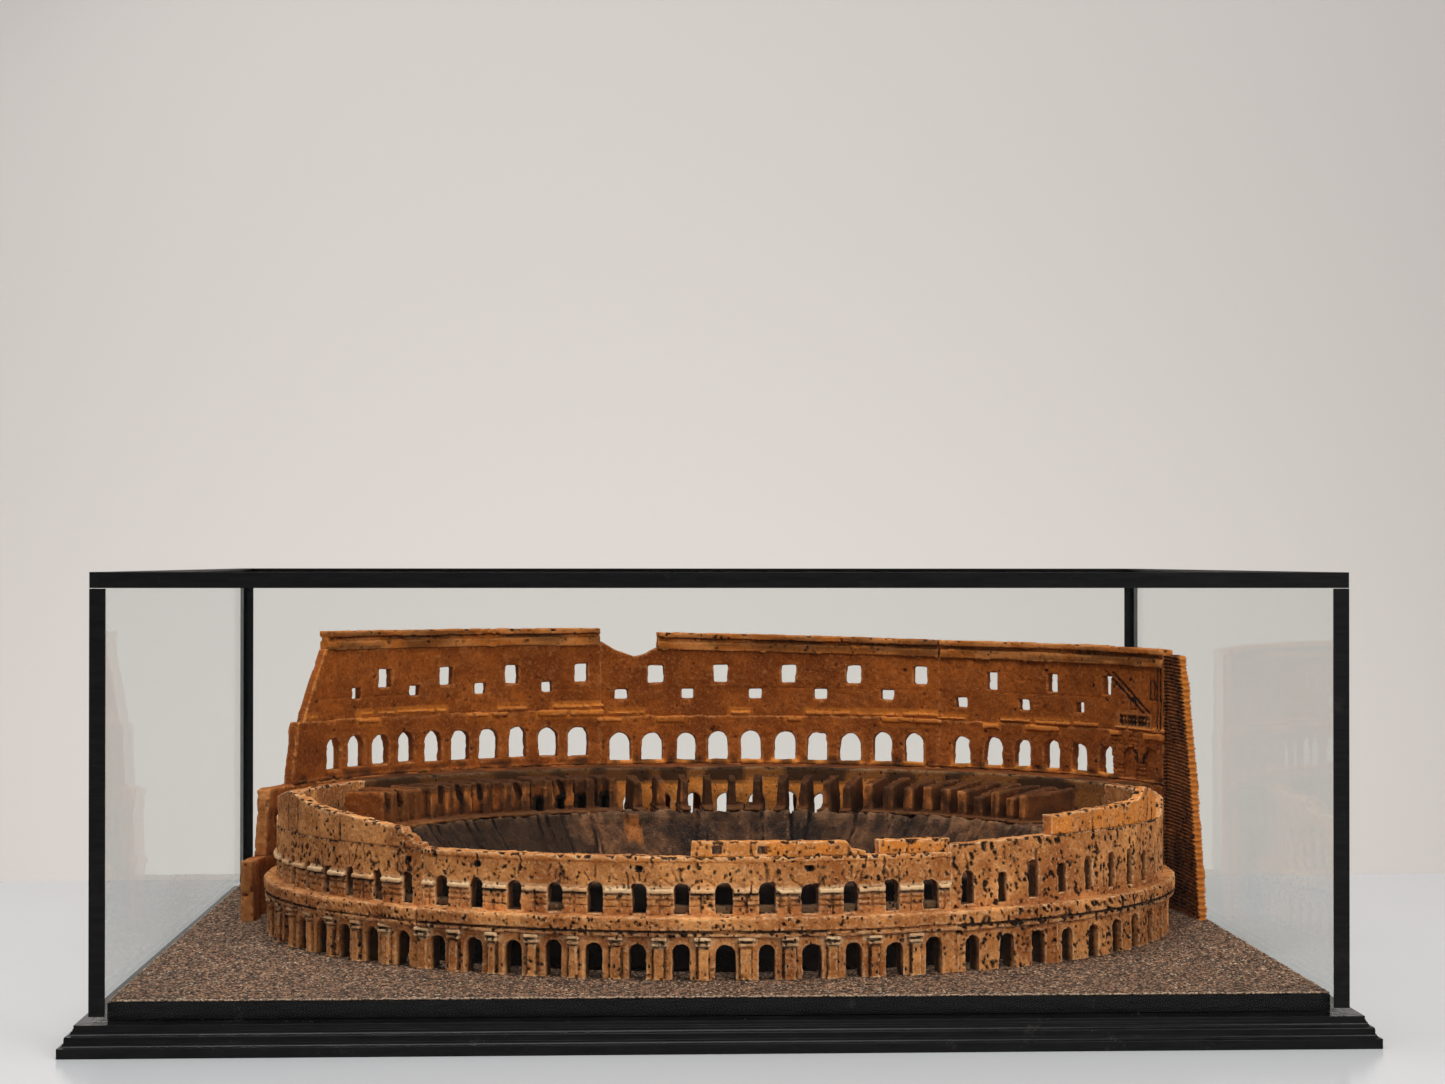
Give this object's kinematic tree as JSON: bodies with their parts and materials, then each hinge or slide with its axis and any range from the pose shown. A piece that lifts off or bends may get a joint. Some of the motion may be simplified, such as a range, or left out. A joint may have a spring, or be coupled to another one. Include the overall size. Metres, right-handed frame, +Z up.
{
  "type": "miniature landmark model",
  "caption": "Carved cork model of a ruined oval amphitheatre on a black moulded plinth, under a lift-off glass case with black edge strips.",
  "frame": {"origin": "centre of the plinth's underside, on the surface that the object stands on", "axes": "+X along the long side, to the right seen from the front; +Y to the rear; +Z up"},
  "size_m": [0.6458, 0.5458, 0.2342],
  "materials": {
    "ebonised_wood": "satin black lacquer, slightly worn at the edges",
    "plain_timber": "bare",
    "granulated_cork": "loose cork granules glued down, matt",
    "screw_steel": "zinc plated",
    "carved_cork": "carved bark cork, matt, with dark pores",
    "aged_cork": "carved bark cork stained rust brown, matt",
    "sooty_cork": "carved cork stained dark grey brown, matt",
    "brick_cork": "cork grooved in fine brick courses, matt",
    "clear_glass": "clear, polished",
    "black_strip": "satin black"
  },
  "bodies": {
    "base": {"plinth_moulding_front": "ebonised_wood", "plinth_moulding_back": "ebonised_wood", "plinth_moulding_left": "ebonised_wood", "plinth_moulding_right": "ebonised_wood", "plinth_panel": "plain_timber", "ground_board": "ebonised_wood", "ground_bed": "granulated_cork", "board_screw_1": "screw_steel", "board_screw_2": "screw_steel", "board_screw_3": "screw_steel", "board_screw_4": "screw_steel", "lower_arcade_south": "carved_cork", "lower_arcade_east": "carved_cork", "lower_arcade_north": "carved_cork", "lower_arcade_west": "carved_cork", "belt_course_south": "carved_cork", "belt_course_east": "carved_cork", "belt_course_north": "carved_cork", "belt_course_west": "carved_cork", "upper_arcade_south": "carved_cork", "upper_arcade_east": "carved_cork", "upper_arcade_north": "carved_cork", "upper_arcade_west": "carved_cork", "attic_block_long": "carved_cork", "attic_block_short": "carved_cork", "attic_block_east": "carved_cork", "attic_block_west": "carved_cork", "outer_wall_lower_east": "aged_cork", "outer_wall_lower_middle": "aged_cork", "outer_wall_first_west": "aged_cork", "outer_wall_second_west": "aged_cork", "third_storey_east": "aged_cork", "third_storey_middle": "aged_cork", "third_storey_west": "aged_cork", "attic_wall_east": "aged_cork", "attic_wall_middle": "aged_cork", "attic_wall_west": "aged_cork", "cornice_east": "aged_cork", "cornice_middle": "aged_cork", "cornice_west": "aged_cork", "east_buttress": "brick_cork", "seating_bowl_south": "sooty_cork", "seating_bowl_north": "sooty_cork", "radial_walls_east": "aged_cork", "radial_walls_west": "aged_cork", "gallery_vault": "aged_cork", "arena_floor": "granulated_cork"},
    "case": {"glass_top": "clear_glass", "glass_front": "clear_glass", "glass_back": "clear_glass", "glass_left": "clear_glass", "glass_right": "clear_glass", "corner_strip_front_left": "black_strip", "corner_strip_front_right": "black_strip", "corner_strip_back_left": "black_strip", "corner_strip_back_right": "black_strip", "top_strip_front": "black_strip", "top_strip_back": "black_strip", "top_strip_left": "black_strip", "top_strip_right": "black_strip"}
  },
  "joints": [
    {"name": "case_lift", "type": "slide", "parent": "base", "child": "case", "axis": [0, 0, 1], "range_m": [0, 0.25]}
  ]
}
